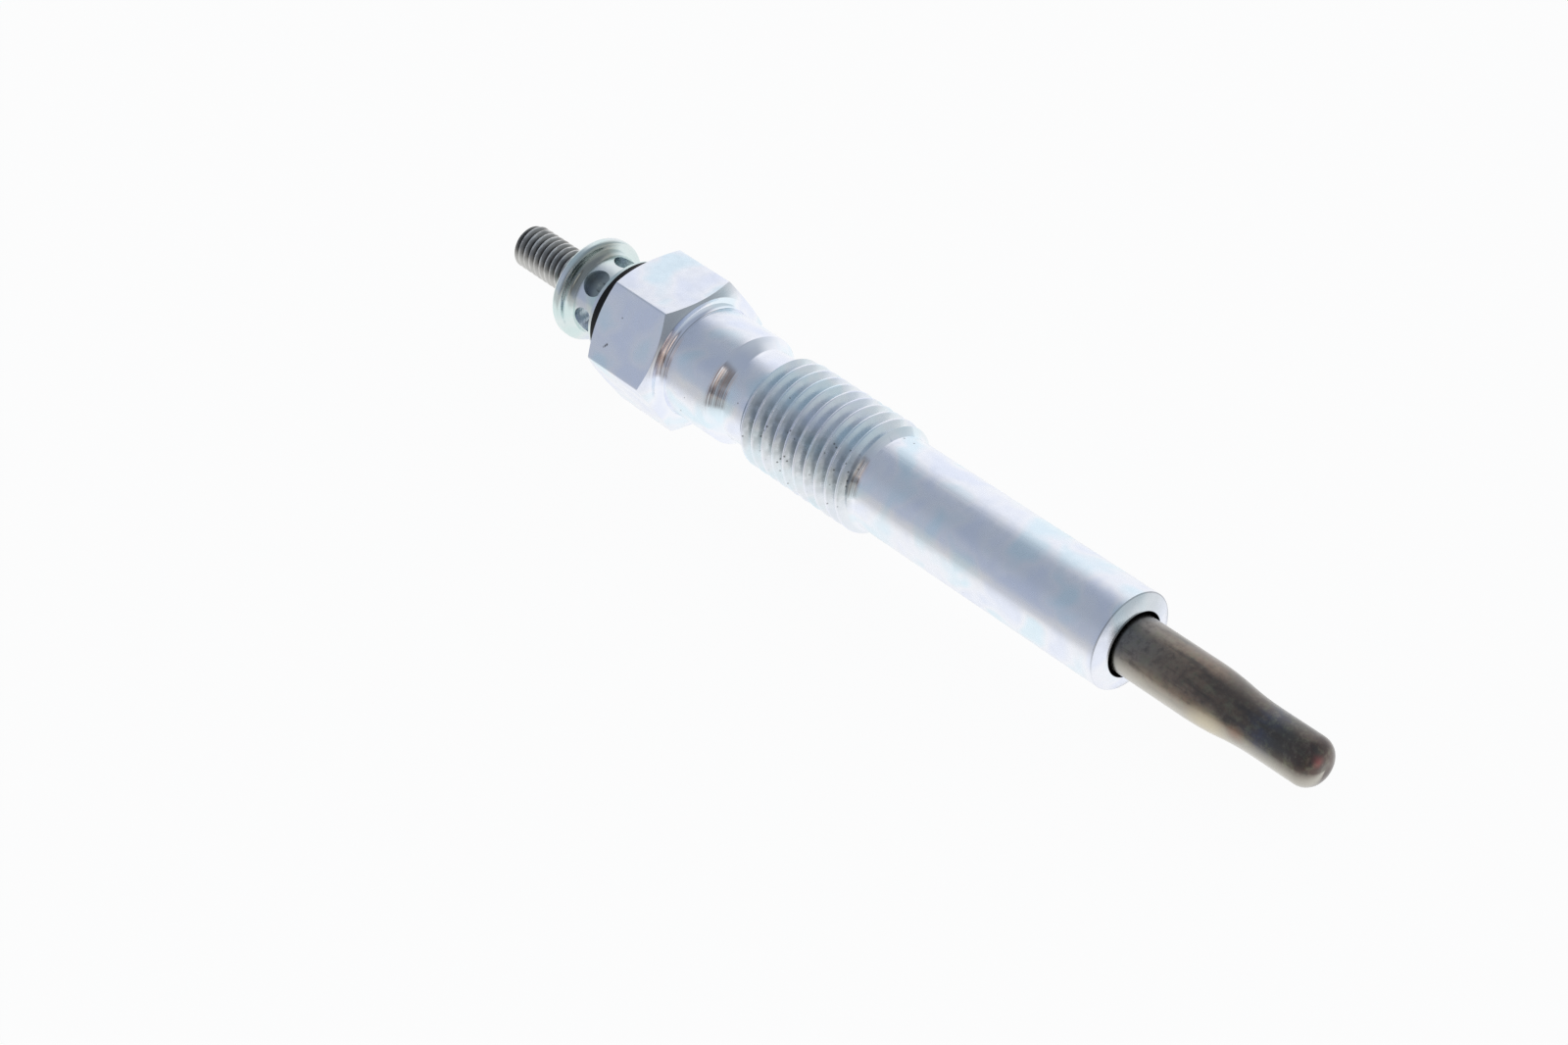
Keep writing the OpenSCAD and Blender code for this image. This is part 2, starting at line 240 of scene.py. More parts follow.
# %% The stem and its thread
PITCH = 1.25
CREST_R = 4.96
CORE_R = 5.0 - 0.6134 * PITCH
SHANK_R = 4.95
RELIEF_R = 4.15
THREAD_FROM = 9.2
THREAD_TO = 22.7
shank = [(-1, 5.55)] + fillet(0, SHANK_R, 0.6) + [(5.68, SHANK_R), (5.75, 4.93), (5.8, 4.89)]
relief = [(6.7, 4.2), (6.78, 4.16), (6.9, RELIEF_R), (THREAD_FROM, RELIEF_R)]
core = [(THREAD_FROM + 0.1, CORE_R), (THREAD_TO - 0.3, CORE_R), (THREAD_TO, BODY_R)]
nose = [(NOSE_EDGE - 0.02, BODY_R), (NOSE_EDGE + 0.02, BODY_R - 0.04), (NOSE - 0.02, 3.09), (NOSE, 3.04)]
stem = turn_on_lathe(shank + relief + core + nose)
ridge = wind_ridge(8.0, 24.0, PITCH, CREST_R, CORE_R)
envelope = turn_on_lathe([(THREAD_FROM - 0.1, RELIEF_R - 0.1), (THREAD_FROM, RELIEF_R),
                          (THREAD_FROM + 0.8, CREST_R), (THREAD_TO - 0.8, CREST_R),
                          (THREAD_TO, BODY_R), (THREAD_TO + 0.1, BODY_R - 0.1)])
combine(ridge, envelope, "INTERSECT")
combine(stem, ridge, "UNION")
combine(shell, stem, "UNION")
print("housing before it is bored", len(shell.data.polygons), "faces")

# %% [markdown]
# The bores take the bush and the sealing ring behind, the electrode in the middle and the heater tube in
# front. One stepped cutter, turned on the same lathe, makes them all.

# %% The bores
REAR_BORE_R = 3.2
COLLAR_BORE_R = 2.55
MIDDLE_BORE_R = 2.75
TUBE_BORE_R = 2.5
MOUTH_R = 2.8
bore = turn_on_lathe([(-HEX_LENGTH - 1, REAR_BORE_R), (-2.65, REAR_BORE_R), (-2.65, COLLAR_BORE_R),
                      (6, COLLAR_BORE_R), (6, MIDDLE_BORE_R), (36, MIDDLE_BORE_R), (36, TUBE_BORE_R),
                      (NOSE - 2, TUBE_BORE_R), (NOSE - 2, MOUTH_R), (NOSE + 1, MOUTH_R)])
combine(shell, bore, "DIFFERENCE")
lay(shell, "Threaded_housing")
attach(shell, "root")
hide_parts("shell")

# %% [markdown]
# The centre electrode shows only as the terminal stud. Its M4 x 0.7 thread is rolled, and its collar goes on
# through the ring and the bush.

# %% The terminal stud and the electrode
STUD_PITCH = 0.7
STUD_R = 2.0
STUD_CORE = STUD_R - 0.6134 * STUD_PITCH
electrode = turn_on_lathe([(STUD_END, 1.28), (STUD_END + 0.06, 1.36), (STUD_END + 0.3, STUD_CORE),
                           (RING_REAR + 0.02, STUD_CORE), (RING_REAR + 0.02, 2.25),
                           (4.5, 2.25), (5, 1.5), (34, 1.5), (34.5, 1.2), (40, 1.2)], sides=96)
stud_ridge = wind_ridge(STUD_END - 0.7, RING_REAR + 0.7, STUD_PITCH, STUD_R, STUD_CORE)
stud_envelope = turn_on_lathe([(STUD_END, 1.35), (STUD_END + 0.65, STUD_R), (RING_REAR, STUD_R)], sides=96)
combine(stud_ridge, stud_envelope, "INTERSECT")
combine(electrode, stud_ridge, "UNION")
lay(electrode, "Terminal_stud_with_thread")
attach(electrode, "root")
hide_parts("centre_electrode")


# %% [markdown]
# Finishes. Every colour is written as the hex value that the eye sees and turned to linear once.
# One small function adds a shader node: it sets the node up, gives each input either a constant or
# the output of another node, and hands back one output to go on with.

# %% Colours and nodes
def colour(hex_value):
    parts = [int(hex_value[i:i + 2], 16) / 255 for i in (1, 3, 5)]
    linear = [c / 12.92 if c <= 0.04045 else ((c + 0.055) / 1.055) ** 2.4 for c in parts]
    return (*linear, 1.0)


def add(tree, kind, inputs, out=0, stops=(), **settings):
    node = tree.nodes.new("ShaderNode" + kind)
    for key, value in settings.items():
        setattr(node, key, value)
    for socket, value in inputs.items():
        if isinstance(value, bpy.types.NodeSocket):
            tree.links.new(value, node.inputs[socket])
        else:
            node.inputs[socket].default_value = value
    for number, (at, shown) in enumerate(stops):
        elements = node.color_ramp.elements
        element = elements[number] if number < 2 else elements.new(at)
        element.position, element.color = at, colour(shown)
    return node.outputs[out] if node.outputs else node


def start_material(name):
    material = bpy.data.materials.new(name)
    material.use_nodes = True
    material.node_tree.nodes.clear()
    return material, material.node_tree


def wear(obj, material):
    obj.data.materials.clear()
    obj.data.materials.append(material)
    print(obj.name, "wears", material.name)


# %% [markdown]
# A finish follows the plug's axis, so Object coordinates are turned back into the upright millimetre frame
# that the pieces were modelled in. The scale of a noise is then the number of its patches to a millimetre.
# The distance from the axis and the station along it tell where on the plug a point is. Places on the
# surface are named by a turn in degrees, from the top towards the camera's side.

# %% Where a point lies on the plug
def along_axis(tree):
    back = lay_down.inverted()
    place = add(tree, "TexCoord", {}, out="Object")
    return add(tree, "Mapping", {"Vector": place, "Location": back.to_translation(),
                                 "Rotation": back.to_euler(), "Scale": back.to_scale()})


def radius_and_station(tree, axis):
    flat = add(tree, "VectorMath", {0: axis, 1: (1, 1, 0)}, operation="MULTIPLY")
    radius = add(tree, "VectorMath", {0: flat}, out="Value", operation="LENGTH")
    return radius, add(tree, "SeparateXYZ", {0: axis}, out=2)


def mark(tree, axis, station, radius, turn, size, soft, share):
    """A spot on the surface that fades out over the width soft."""
    angle = math.radians(turn)
    centre = (-radius * math.cos(angle), -radius * math.sin(angle), station)
    away = add(tree, "VectorMath", {0: axis, 1: centre}, out="Value", operation="DISTANCE")
    return add(tree, "MapRange", {0: away, 1: size, 2: size + soft, 3: share, 4: 0.0})


def facing(tree, axis, turn):
    """How far the surface looks towards a turn: 1 is fully."""
    flat = add(tree, "VectorMath", {0: axis, 1: (1, 1, 0)}, operation="MULTIPLY")
    outward = add(tree, "VectorMath", {0: flat}, operation="NORMALIZE")
    side = (-math.cos(math.radians(turn)), -math.sin(math.radians(turn)), 0)
    return add(tree, "VectorMath", {0: outward, 1: side}, out="Value", operation="DOT_PRODUCT")


def paint_over(tree, base, shown, *masks):
    """Lays a colour over the base where all the masks meet."""
    share = masks[0]
    for mask in masks[1:]:
        share = add(tree, "Math", {0: share, 1: mask}, operation="MULTIPLY")
    return add(tree, "Mix", {0: share, 6: base, 7: colour(shown)}, out=2, data_type="RGBA")


# %% [markdown]
# The shell is steel with bright zinc plate. Fresh zinc is a cool silver, and the thin passivation film on it
# shows patches of faint violet, blue and green. A few specks and one nick on a flat come from handling:
# a cell pattern puts a speck in some of its cells, and three small marks in a row make the nick.

# %% The film of the plate, its specks and a nick
FILM_PATCHES = 0.3  # to the millimetre: a patch is about 3 mm wide
SPECK_CELLS = 0.55  # to the millimetre: a cell is about 2 mm wide, its speck 0.1 mm


def film_and_specks(tree, axis, film):
    patch = add(tree, "TexNoise", {"Vector": axis, "Scale": FILM_PATCHES, "Detail": 1.5, "Distortion": 0.3})
    base = add(tree, "ValToRGB", {0: patch}, stops=zip((0.36, 0.5, 0.64), film))
    cell = add(tree, "TexVoronoi", {"Vector": axis, "Scale": SPECK_CELLS}, out="Color")
    chosen = add(tree, "MapRange", {0: add(tree, "SeparateColor", {0: cell}), 1: 0.62, 2: 0.64})
    dot = add(tree, "MapRange", {0: cell.node.outputs["Distance"], 1: 0.03, 2: 0.06, 3: 0.75, 4: 0.0})
    base = paint_over(tree, base, "#57524E", dot, chosen)
    for step in (-1, 0, 1):
        nick = mark(tree, axis, -5.6 + 0.13 * step, 6.2, 76 - 1.6 * step, 0.05, 0.1, 0.9)
        base = paint_over(tree, base, "#5A5652", nick)
    return base


# %% [markdown]
# In three turned corners, at the hexagon, in the relief groove and behind the thread, coppery glints and dark
# brown streaks are painted on the near side, a painted reflection of a warm light and of the dark room beside
# the camera. A ramp along the axis marks the corners, and a noise that runs along the axis only gives the lines
# of the cutter.

# %% Painted glints in the turned corners
CUTTER_LINES = 9.0  # to the millimetre: a line is about 0.1 mm wide
CORNERS_FROM, CORNERS_TO = -1.0, 24.0
BLACK, WHITE = "#000000", "#FFFFFF"


def paint_corner_glints(tree, axis, station, base):
    place = add(tree, "MapRange", {0: station, 1: CORNERS_FROM, 2: CORNERS_TO})
    turned = add(tree, "ValToRGB", {0: place},
                 stops=[(0.03, BLACK), (0.04, WHITE), (0.068, WHITE), (0.08, BLACK),
                        (0.255, BLACK), (0.27, WHITE), (0.315, WHITE), (0.33, BLACK),
                        (0.9, BLACK), (0.92, WHITE), (0.95, WHITE), (0.96, BLACK)])
    lines = add(tree, "TexNoise", {"W": station, "Scale": CUTTER_LINES, "Detail": 2.0}, noise_dimensions="1D")
    streaky = add(tree, "MapRange", {0: lines, 1: 0.42, 2: 0.58, 3: 0.2, 4: 1.0})
    # Painted reflections on the near side: coppery glints, and dark brown streaks beside them.
    for turn, tight, share, shown in ((52, 0.94, 0.85, "#F1D6C8"), (68, 0.975, 0.6, "#6A5048")):
        painted_glint = add(tree, "MapRange", {0: facing(tree, axis, turn), 1: tight, 2: 0.99, 3: 0.0, 4: share})
        base = paint_over(tree, base, shown, painted_glint, streaky, turned)
    return base, turned, lines


# %% [markdown]
# Below the crests the thread is painted duller, a painted shade in the roots that leaves the crests as bright
# lines. On the near side a painted shade, broken up by the grain, greys the flanks, and crumbs of dirt lie in
# the thread. The distance from the axis tells crest from root.

# %% Painted shade and crumbs of dirt in the thread
CRUMB_CELLS = 1.3  # to the millimetre: a crumb in every 0.8 mm, about 0.1 mm wide


def shade_thread_and_crumbs(tree, axis, radius, station, grain, base):
    behind = add(tree, "MapRange", {0: station, 1: THREAD_FROM, 2: 9.6})
    before = add(tree, "MapRange", {0: station, 1: 22.3, 2: THREAD_TO, 3: 1.0, 4: 0.0})
    threaded = add(tree, "Math", {0: behind, 1: before}, operation="MULTIPLY")
    # Painted shade below the crests, so that the crests show as bright lines.
    below = add(tree, "MapRange", {0: radius, 1: 4.84, 2: 4.94, 3: 0.4, 4: 0.0})
    root_shade = add(tree, "Math", {0: threaded, 1: below}, operation="MULTIPLY")
    base = paint_over(tree, base, "#DCE4E6", root_shade)
    # Painted shade over the flanks on the near side, broken up by the grain.
    nearside_shade = add(tree, "MapRange", {0: facing(tree, axis, 66), 1: 0.82, 2: 0.97, 3: 0.0, 4: 1.2})
    uneven = add(tree, "MapRange", {0: grain, 1: 0.38, 2: 0.6, 3: 0.5, 4: 1.1})
    base = paint_over(tree, base, "#A3ABAC", nearside_shade, uneven, root_shade)
    cell = add(tree, "TexVoronoi", {"Vector": axis, "Scale": CRUMB_CELLS}, out="Distance")
    crumb = add(tree, "MapRange", {0: cell, 1: 0.06, 2: 0.15, 3: 0.8, 4: 0.0})
    held = add(tree, "MapRange", {0: facing(tree, axis, 70), 1: 0.7, 2: 0.85})
    return paint_over(tree, base, "#4C4A48", crumb, held, threaded)


# %% [markdown]
# The chamfer of the hexagon and the cone of the nose are painted darker on their upper side, a painted shade.
# A dark line runs along the edge of the nose and is painted fading out on the lower side, where the light washes
# it out. The mouth round the heater tube is painted dark, a painted shade in the recess.

# %% Painted shade on the cones and in the mouth
def shade_cones_and_mouth(tree, axis, radius, station, base):
    edge = add(tree, "Math", {0: station, 1: NOSE_EDGE, 2: 0.045}, operation="COMPARE")
    # The dark line at the nose edge is painted fading out on the lower side, where the light washes it out.
    line_fade = add(tree, "MapRange", {0: facing(tree, axis, 130), 1: 0.5, 2: 0.9, 3: 0.55, 4: 0.05})
    base = paint_over(tree, base, "#6F7478", edge, line_fade)
    on_cone = add(tree, "Math", {0: radius, 1: CHAMFER_SLOPE, 2: station}, operation="MULTIPLY_ADD")
    chamfer = add(tree, "Math", {0: on_cone, 1: HEX_CHAMFER / 2 * CHAMFER_SLOPE, 2: 0.04}, operation="COMPARE")
    cone = add(tree, "MapRange", {0: station, 1: NOSE_EDGE + 0.03, 2: NOSE_EDGE + 0.06})
    # Painted shade on the upper side of the hexagon's chamfer and of the nose cone.
    for face, turn, share, shown in ((chamfer, 20, 0.9, "#B2B6BC"), (cone, -15, 0.8, "#CFD6DB")):
        upper_shade = add(tree, "MapRange", {0: facing(tree, axis, turn), 1: 0.45, 2: 0.9, 3: 0.0, 4: share})
        base = paint_over(tree, base, shown, face, upper_shade)
    # Painted shade in the mouth round the heater tube.
    inside = add(tree, "MapRange", {0: radius, 1: MOUTH_R + 0.02, 2: MOUTH_R + 0.06, 3: 1.0, 4: 0.0})
    front = add(tree, "MapRange", {0: station, 1: 40.0, 2: 41.0})
    return paint_over(tree, base, "#161515", inside, front)


# %% [markdown]
# The crimp ring is plated too. Its punch marks reach below the barrel and are painted darker, a painted shade
# that is full on the mark on the near side. The groove behind them is painted darker on the near side, a painted
# shade. Both are only painted where the share punched is above zero.

# %% Painted shade in the punch marks and the groove of the ring
def shade_ring_marks(tree, axis, radius, station, punched, base):
    # Painted shade in the punch marks, full on the mark on the near side.
    hollow = add(tree, "MapRange", {0: radius, 1: 3.3, 2: 3.5, 3: punched, 4: 0.0})
    near_mark_shade = add(tree, "MapRange", {0: facing(tree, axis, 38), 1: 0.8, 2: 0.95, 3: 0.1, 4: 1.0})
    mark_shade = add(tree, "Math", {0: hollow, 1: near_mark_shade}, operation="MULTIPLY")
    base = paint_over(tree, base, "#6C797C", mark_shade)
    from_groove = add(tree, "Math", {0: station, 1: RING_REAR + 1.3}, operation="SUBTRACT")
    aside = add(tree, "Math", {0: from_groove}, operation="ABSOLUTE")
    # Painted shade on the near side of the groove.
    groove_shade = add(tree, "MapRange", {0: aside, 1: 0.3, 2: 0.7, 3: 1.5 * punched, 4: 0.0})
    shaded = add(tree, "MapRange", {0: facing(tree, axis, 22), 1: 0.55, 2: 0.82})
    return paint_over(tree, base, "#94968F", groove_shade, shaded), mark_shade


# %% [markdown]
# Put together, the plate is a metal of middling roughness. The punch marks are rougher where their shade is
# painted, the cutter's lines make the turned corners smoother, and a very shallow bump carries the grain, these
# lines and the rings that the lathe left on the faces of the crimp ring.

# %% Bright zinc plate
GRAIN = 1.6  # to the millimetre: drawn coarser than the crystals of real plate, so that it shows
RING_GAP = 0.3  # millimetres from ring to ring: coarser than a cutter's real feed, so that they show


def zinc_plate(name, film, rough, rings, punched):
    material, tree = start_material(name)
    axis = along_axis(tree)
    radius, station = radius_and_station(tree, axis)
    grain = add(tree, "TexNoise", {"Vector": axis, "Scale": GRAIN, "Detail": 4.0})
    base = film_and_specks(tree, axis, film)
    base, turned, lines = paint_corner_glints(tree, axis, station, base)
    base = shade_thread_and_crumbs(tree, axis, radius, station, grain, base)
    base = shade_cones_and_mouth(tree, axis, radius, station, base)
    base, mark_shade = shade_ring_marks(tree, axis, radius, station, punched, base)
    satin = add(tree, "MapRange", {0: grain, 1: 0.3, 2: 0.7, 3: rough - 0.05, 4: rough + 0.06})
    rough_marks = add(tree, "Math", {0: mark_shade, 1: 0.4, 2: satin}, operation="MULTIPLY_ADD")
    cut = add(tree, "Math", {0: turned, 1: -0.16, 2: rough_marks}, operation="MULTIPLY_ADD")
    furrows = add(tree, "Math", {0: lines, 1: turned}, operation="MULTIPLY")
    skin = add(tree, "Math", {0: furrows, 1: 1.6, 2: grain}, operation="MULTIPLY_ADD")
    phase = add(tree, "Math", {0: radius, 1: 2 * math.pi / RING_GAP}, operation="MULTIPLY")
    wave = add(tree, "Math", {0: phase}, operation="SINE")
    height = add(tree, "Math", {0: wave, 1: rings, 2: skin}, operation="MULTIPLY_ADD")
    bump = add(tree, "Bump", {"Strength": 0.03, "Distance": 0.0001, "Height": height})
    shader = add(tree, "BsdfPrincipled", {"Base Color": base, "Metallic": 1.0, "Roughness": cut, "Normal": bump})
    add(tree, "OutputMaterial", {"Surface": shader})
    return material


wear(shell, zinc_plate("Bright_zinc_plated_steel", ("#EAEFFC", "#F4F6FC", "#E4F3FC"),
                       rough=0.28, rings=0.0, punched=0.0))
wear(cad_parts["crimp_ring"],
     zinc_plate("Turned_zinc_plated_steel", ("#DDE3EE", "#E2EAEA", "#D6E7E6"),
                rough=0.2, rings=0.5, punched=0.6))


# %% [markdown]
# The terminal stud is rolled bare steel: mid grey, darker in the roots of the thread and paler on the crests,
# and its lower side is painted paler, a painted reflection of the white table. The distance from the axis tells
# root from crest, and a thin coat is the oil film. The clouds of the oil are about 0.8 mm wide.

# %% Rolled bare steel
OIL_CLOUDS = 1.2  # to the millimetre


def rolled_steel(name):
    material, tree = start_material(name)
    axis = along_axis(tree)
    radius, _ = radius_and_station(tree, axis)
    cloud = add(tree, "TexNoise", {"Vector": axis, "Scale": OIL_CLOUDS, "Detail": 4.0})
    uneven = add(tree, "Math", {0: cloud, 1: 0.3, 2: radius}, operation="MULTIPLY_ADD")
    base = add(tree, "ValToRGB", {0: add(tree, "MapRange", {0: uneven, 1: 1.7, 2: 2.17})},
               stops=[(0.0, "#5F5E5D"), (0.5, "#82817F"), (0.8, "#9A9998"), (0.92, "#D2D1CF"), (1.0, "#E0DFDD")])
    # The lower side is painted paler, a painted reflection of the white table.
    table_reflection = add(tree, "MapRange", {0: facing(tree, axis, 118), 1: 0.74, 2: 1.0, 3: 0.0, 4: 0.7})
    base = paint_over(tree, base, "#CFCFCC", table_reflection)
    satin = add(tree, "MapRange", {0: cloud, 1: 0.3, 2: 0.7, 3: 0.26, 4: 0.4})
    bump = add(tree, "Bump", {"Strength": 0.06, "Distance": 0.0001, "Height": cloud})
    shader = add(tree, "BsdfPrincipled", {"Base Color": base, "Metallic": 1.0, "Roughness": satin,
                                          "Normal": bump, "Coat Weight": 0.7, "Coat Roughness": 0.25})
    add(tree, "OutputMaterial", {"Surface": shader})
    return material


wear(electrode, rolled_steel("Rolled_bare_steel"))


# %% [markdown]
# The heater tube is a nickel alloy, and a first heat has tinted it in bands: grey at the nose, brown on the
# swage, blue-black behind the tip and reddish brown at the end. A ramp along the axis gives the bands, and
# the streaks that drawing left along the tube make their edges wander. Blots and soot break them up.

# %% Heat bands, blots and soot
STREAKS = (1.3, 1.3, 0.22)  # to the millimetre: about 0.8 mm wide and 5 mm long
BLOTS = 1.1  # to the millimetre
SOOT = 2.0  # to the millimetre


def heat_bands(tree, axis, station, streak, blot):
    soot = add(tree, "TexNoise", {"Vector": axis, "Scale": SOOT, "Detail": 3.0, "Roughness": 0.6})
    wander = add(tree, "Math", {0: streak, 1: 4.4, 2: station}, operation="MULTIPLY_ADD")
    along = add(tree, "MapRange", {0: wander, 1: NOSE + 2.2, 2: TIP_END + 2.2})
    base = add(tree, "ValToRGB", {0: along},
               stops=[(0.0, "#7A7672"), (0.2, "#7A6A5A"), (0.4, "#725C4A"),
                      (0.58, "#5E4A39"), (0.66, "#46382E"), (0.73, "#383A4C"),
                      (0.82, "#3E3B35"), (0.9, "#402E20"), (0.97, "#462A20")])
    for pattern, low, high, share, shown in ((blot, 0.5, 0.66, 0.6, "#6B6E56"),
                                             (blot, 0.5, 0.32, 0.6, "#453A32"),
                                             (streak, 0.54, 0.68, 0.75, "#33281F"),
                                             (soot, 0.53, 0.66, 0.22, "#8A8474"),
                                             (soot, 0.48, 0.34, 0.4, "#2E2722")):
        patch = add(tree, "MapRange", {0: pattern, 1: low, 2: high, 3: 0.0, 4: share})
        base = paint_over(tree, base, shown, patch)
    return base


# %% [markdown]
# The lower side is painted pale, a painted reflection of the white table, and near the nose a faint pale strip on
# the far upper side is a painted reflection of the room. A straw patch low on the swage is partly heat tint and
# partly a painted highlight, a coppery one lies in front of it and a red spot on the tip. The oxide is a thin
# clear film on the metal, so it is a coat, which brightens at grazing angles.

# %% Heat-tinted nickel alloy
def heat_tint(name):
    material, tree = start_material(name)
    axis = along_axis(tree)
    _, station = radius_and_station(tree, axis)
    drawn = add(tree, "VectorMath", {0: axis, 1: STREAKS}, operation="MULTIPLY")
    streak = add(tree, "TexNoise", {"Vector": drawn, "Scale": 1.0, "Detail": 5.0})
    blot = add(tree, "TexNoise", {"Vector": axis, "Scale": BLOTS, "Detail": 6.0, "Roughness": 0.7})
    base = heat_bands(tree, axis, station, streak, blot)
    # Painted reflections: the lower side paler from the white table, a faint strip on the far upper side from the
    # room.
    for turn, start, share, lasting, shown in ((118, 0.74, 0.8, 1.0, "#C2BEB2"),
                                               (-45, 0.8, 0.2, 0.0, "#9C9994")):
        painted_sheen = add(tree, "MapRange", {0: facing(tree, axis, turn), 1: start, 2: 1.0, 3: 0.0, 4: share})
        fades = add(tree, "MapRange", {0: station, 1: 54.0, 2: 58.0, 3: 1.0, 4: lasting})
        base = paint_over(tree, base, shown, painted_sheen, fades)
    # The straw patch on the swage is partly heat tint and partly a painted highlight.
    for at, away, turn, size, soft, share, shown in ((58.6, 2.5, 112, 0.7, 1.6, 0.7, "#CDC2A4"),
                                                     (61.2, 2.3, 84, 0.1, 0.9, 0.5, "#8C6248"),
                                                     (59.4, 2.3, -12, 0.5, 1.8, 0.55, "#2C2622"),
                                                     (67.78, 1.3, 30, 0.12, 0.5, 0.5, "#9A4440")):
        base = paint_over(tree, base, shown, mark(tree, axis, at, away, turn, size, soft, share))
    satin = add(tree, "MapRange", {0: streak, 1: 0.3, 2: 0.7, 3: 0.3, 4: 0.42})
    bump = add(tree, "Bump", {"Strength": 0.2, "Distance": 0.0001, "Height": blot})
    shader = add(tree, "BsdfPrincipled", {"Base Color": base, "Metallic": 1.0, "Roughness": satin, "Normal": bump,
                                          "Coat Weight": 1.0, "Coat Roughness": 0.3, "Coat IOR": 1.7})
    add(tree, "OutputMaterial", {"Surface": shader})
    return material


wear(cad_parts["sheath_tube"], heat_tint("Heat_tinted_nickel_alloy"))


# %% [markdown]
# The bush is moulded black phenolic, which shows as one dark line. The pieces inside are not seen, but each
# has its own plain finish with a little cloudiness, so that the part also looks right when it is opened.
# The clouds are as wide as the grain of each stuff, a sixth to a third of a millimetre.

# %% Plastic, rubber, wire and powder
def plain_finish(name, low, high, metal, rough, scale):
    material, tree = start_material(name)
    cloud = add(tree, "TexNoise", {"Vector": along_axis(tree), "Scale": scale, "Detail": 4.0})
    base = add(tree, "ValToRGB", {0: cloud}, stops=[(0.35, low), (0.65, high)])
    satin = add(tree, "MapRange", {0: cloud, 1: 0.3, 2: 0.7, 3: rough - 0.06, 4: rough + 0.06})
    shader = add(tree, "BsdfPrincipled", {"Base Color": base, "Metallic": metal, "Roughness": satin,
                                          "Specular IOR Level": 0.3})
    add(tree, "OutputMaterial", {"Surface": shader})
    return material


phenolic = plain_finish("Moulded_black_phenolic", "#060708", "#0C0D10", metal=0.0, rough=0.5, scale=3.0)
rubber = plain_finish("Moulded_rubber", "#101010", "#1A1A1A", metal=0.0, rough=0.7, scale=3.0)
wire = plain_finish("Drawn_resistance_wire", "#7C766E", "#928B82", metal=1.0, rough=0.3, scale=4.0)
powder = plain_finish("Pressed_magnesia", "#DAD8D0", "#EAE8E0", metal=0.0, rough=0.85, scale=6.0)
for node, material in (("insulating_bush", phenolic), ("o_ring", rubber), ("sheath_seal", rubber),
                       ("control_coil", wire), ("heating_coil", wire), ("insulating_powder", powder)):
    wear(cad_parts[node], material)

# %% [markdown]
# The stage is a white table in front of a bright wall. Polished metal shows the room rather than a colour of
# its own, so the room decides the look. The table is white paint with a white glow for rays that come from
# the camera or from a mirror, so it keeps a soft shadow. For mirror rays a painted pool of light is set in the
# glow round the plug, so in the metal the glow fades on the camera's side.

# %% White table
PAINTED_POOL_EDGE, PAINTED_POOL_FULL = -0.026, -0.010
bpy.ops.object.select_all(action="DESELECT")
bpy.ops.mesh.primitive_plane_add(size=6)
table = bpy.context.object
table.name = "White_table"
table_paint, tree = start_material("White_table_top")
paint = add(tree, "BsdfDiffuse", {"Color": colour("#FBFBFB")})
ray = add(tree, "LightPath", {}, out="Is Camera Ray")
mirrored = add(tree, "Math", {0: ray.node.outputs["Is Glossy Ray"],
                              1: ray.node.outputs["Is Transmission Ray"]}, operation="MAXIMUM")
across = add(tree, "SeparateXYZ", {0: add(tree, "TexCoord", {}, out="Object")}, out=1)
# A painted pool of light: for mirror rays the glow fades towards the camera's side.
painted_pool = add(tree, "MapRange", {0: across, 1: PAINTED_POOL_EDGE, 2: PAINTED_POOL_FULL, 3: 0.62, 4: 1.0},
           interpolation_type="SMOOTHSTEP")
level = add(tree, "Math", {0: ray, 1: painted_pool}, operation="MAXIMUM")
glow = add(tree, "Emission", {"Color": (1, 1, 1, 1), "Strength": level})
direct = add(tree, "Math", {0: ray, 1: 0.95}, operation="MULTIPLY")
share = add(tree, "Math", {0: direct, 1: mirrored}, operation="MAXIMUM")
top = add(tree, "MixShader", {0: share, 1: paint, 2: glow})
add(tree, "OutputMaterial", {"Surface": top})
table.data.materials.append(table_paint)
print("table", [round(v, 2) for v in table.dimensions])

# %% [markdown]
# The room is painted on the sky by direction. Each row names a direction, how near to it the patch starts
# and is full, how strong it is, and its colour: a bright wall behind the plug, a paler horizon on the near
# side, a pale wall ahead of the tip, and a dark patch beside the camera. The rest is dim and slightly blue.

# %% The walls of the room
world = bpy.data.worlds.new("Bright_room")
bpy.context.scene.world = world
world.use_nodes = True
tree = world.node_tree
tree.nodes.clear()
look = add(tree, "TexCoord", {}, out="Generated")
room = colour("#A0A8B4")
for direction, start, full, share, shown in (((-0.50, 0.86, 0.00), 0.33, 0.80, 1.0, "#FAFBFE"),
                                             ((-0.60, -0.80, 0.00), 0.75, 1.00, 1.0, "#B4BBC8"),
                                             ((0.75, 0.65, 0.10), 0.55, 0.98, 1.0, "#CDD4D8"),
                                             ((0.62, -0.58, 0.53), 0.90, 0.97, 0.6, "#5A5452")):
    near = add(tree, "VectorMath", {0: look, 1: Vector(direction).normalized()}, out="Value",
               operation="DOT_PRODUCT")
    patch = add(tree, "MapRange", {0: near, 1: start, 2: full, 3: 0.0, 4: share},
                interpolation_type="SMOOTHSTEP")
    room = add(tree, "Mix", {0: patch, 6: room, 7: colour(shown)}, out=2, data_type="RGBA")
print("room painted with", len(tree.nodes), "nodes")

# %% [markdown]
# A pale strip beside the camera gives the glints in the grooves. It is narrow across and ends softly, and it
# grows from grey at the horizon to white higher up. The camera itself sees plain white behind the table.

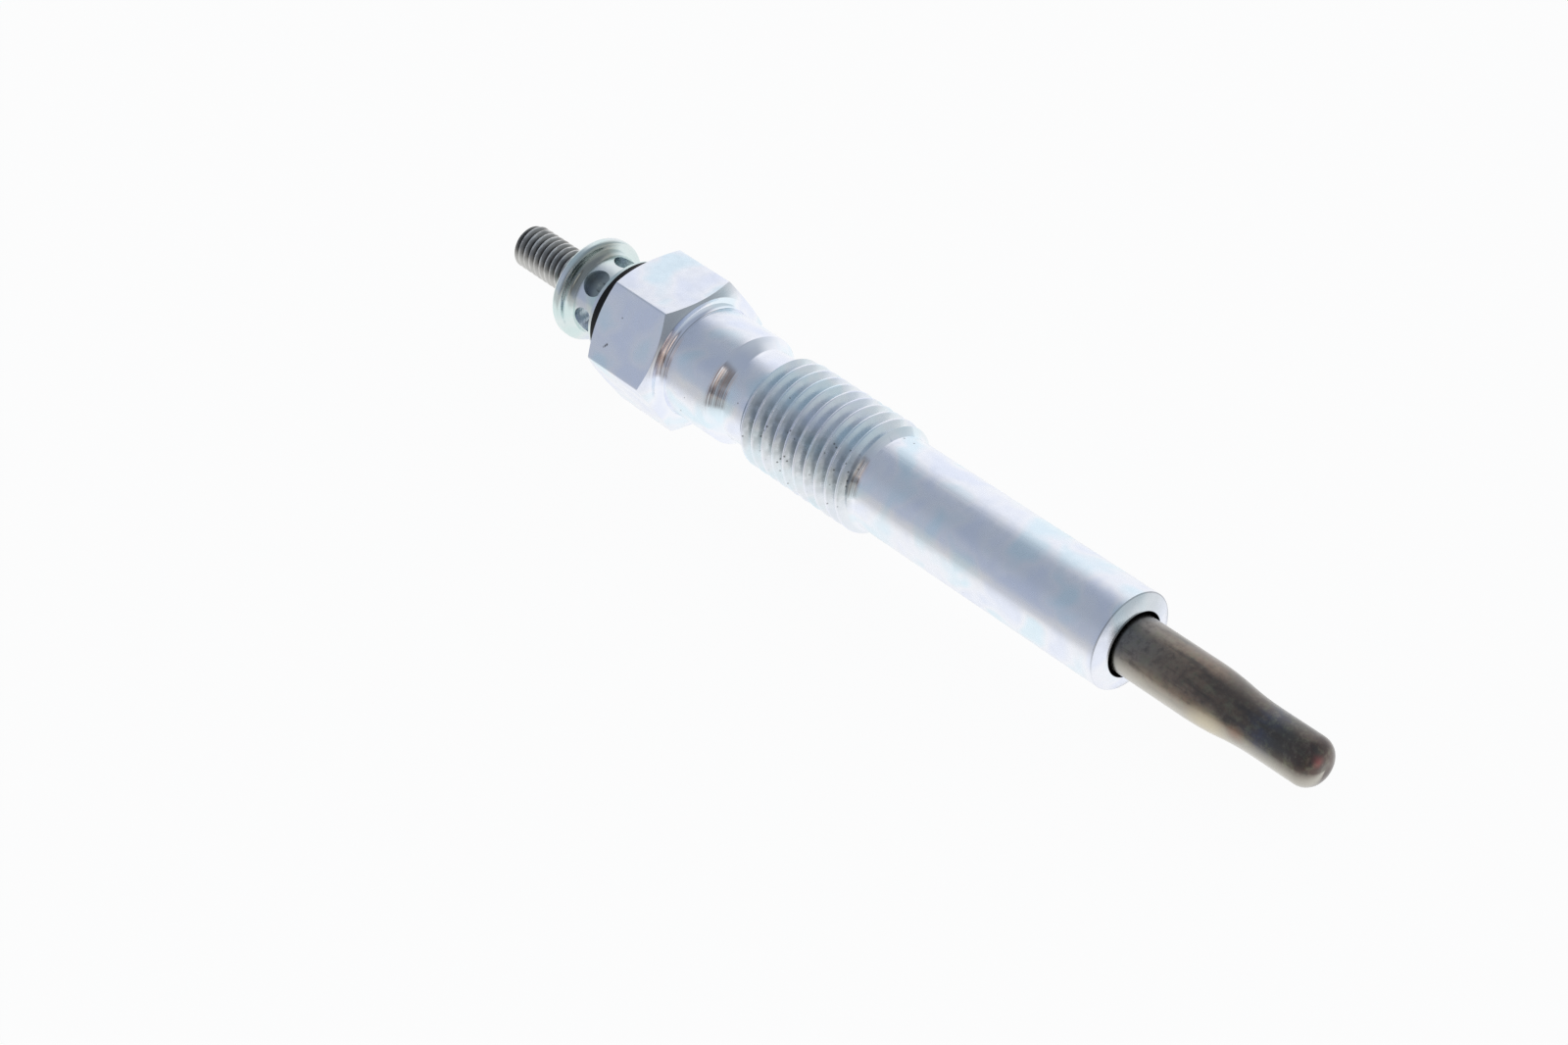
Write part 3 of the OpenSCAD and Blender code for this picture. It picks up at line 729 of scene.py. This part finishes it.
# %% A strip of light
STRIP_AT = (0.660, -0.700, 0.270)
STRIP_ACROSS = (0.741, 0.537, -0.404)
near = add(tree, "VectorMath", {0: look, 1: STRIP_AT}, out="Value", operation="DOT_PRODUCT")
aside = add(tree, "VectorMath", {0: look, 1: STRIP_ACROSS}, out="Value", operation="DOT_PRODUCT")
shifted = add(tree, "Math", {0: aside, 1: 0.04}, operation="SUBTRACT")
off = add(tree, "Math", {0: shifted}, operation="ABSOLUTE")
narrow = add(tree, "MapRange", {0: off, 1: 0.1, 2: 0.16, 3: 1.0, 4: 0.0}, interpolation_type="SMOOTHSTEP")
ends = add(tree, "MapRange", {0: near, 1: 0.87, 2: 0.91}, interpolation_type="SMOOTHSTEP")
band = add(tree, "Math", {0: narrow, 1: ends}, operation="MULTIPLY")
strip = add(tree, "ValToRGB", {0: add(tree, "SeparateXYZ", {0: look}, out=2)},
            stops=[(0.02, "#4A4644"), (0.15, "#8C8886"), (0.28, "#DCDAD8"), (0.4, "#FAFAFA")])
room = add(tree, "Mix", {0: band, 6: room, 7: strip}, out=2, data_type="RGBA")
air = add(tree, "Background", {"Color": room})
white = add(tree, "Background", {"Color": (1, 1, 1, 1)})
ray = add(tree, "LightPath", {}, out="Is Camera Ray")
both = add(tree, "MixShader", {0: ray, 1: air, 2: white})
add(tree, "OutputWorld", {"Surface": both})
print("room lit from behind, dim side towards the camera,", len(tree.nodes), "nodes")

# %% [markdown]
# The camera looks down on the plug from the heater's side, at the photograph's angle and with its perspective.

# %% Camera
CAMERA_AT = (0.162345, -0.14673, 0.16746)
CAMERA_TURN = (52.774, 2.332, 48.305)
camera_data = bpy.data.cameras.new("Camera")
camera_data.lens = 78.75
camera_data.sensor_width = 36
camera_data.clip_start = 0.01
camera = bpy.data.objects.new("Camera", camera_data)
bpy.context.scene.collection.objects.link(camera)
camera.location = CAMERA_AT
camera.rotation_euler = Euler([math.radians(v) for v in CAMERA_TURN])
bpy.context.scene.camera = camera
bpy.context.scene.view_settings.view_transform = "Standard"
print("camera with a lens of", camera_data.lens, "mm")
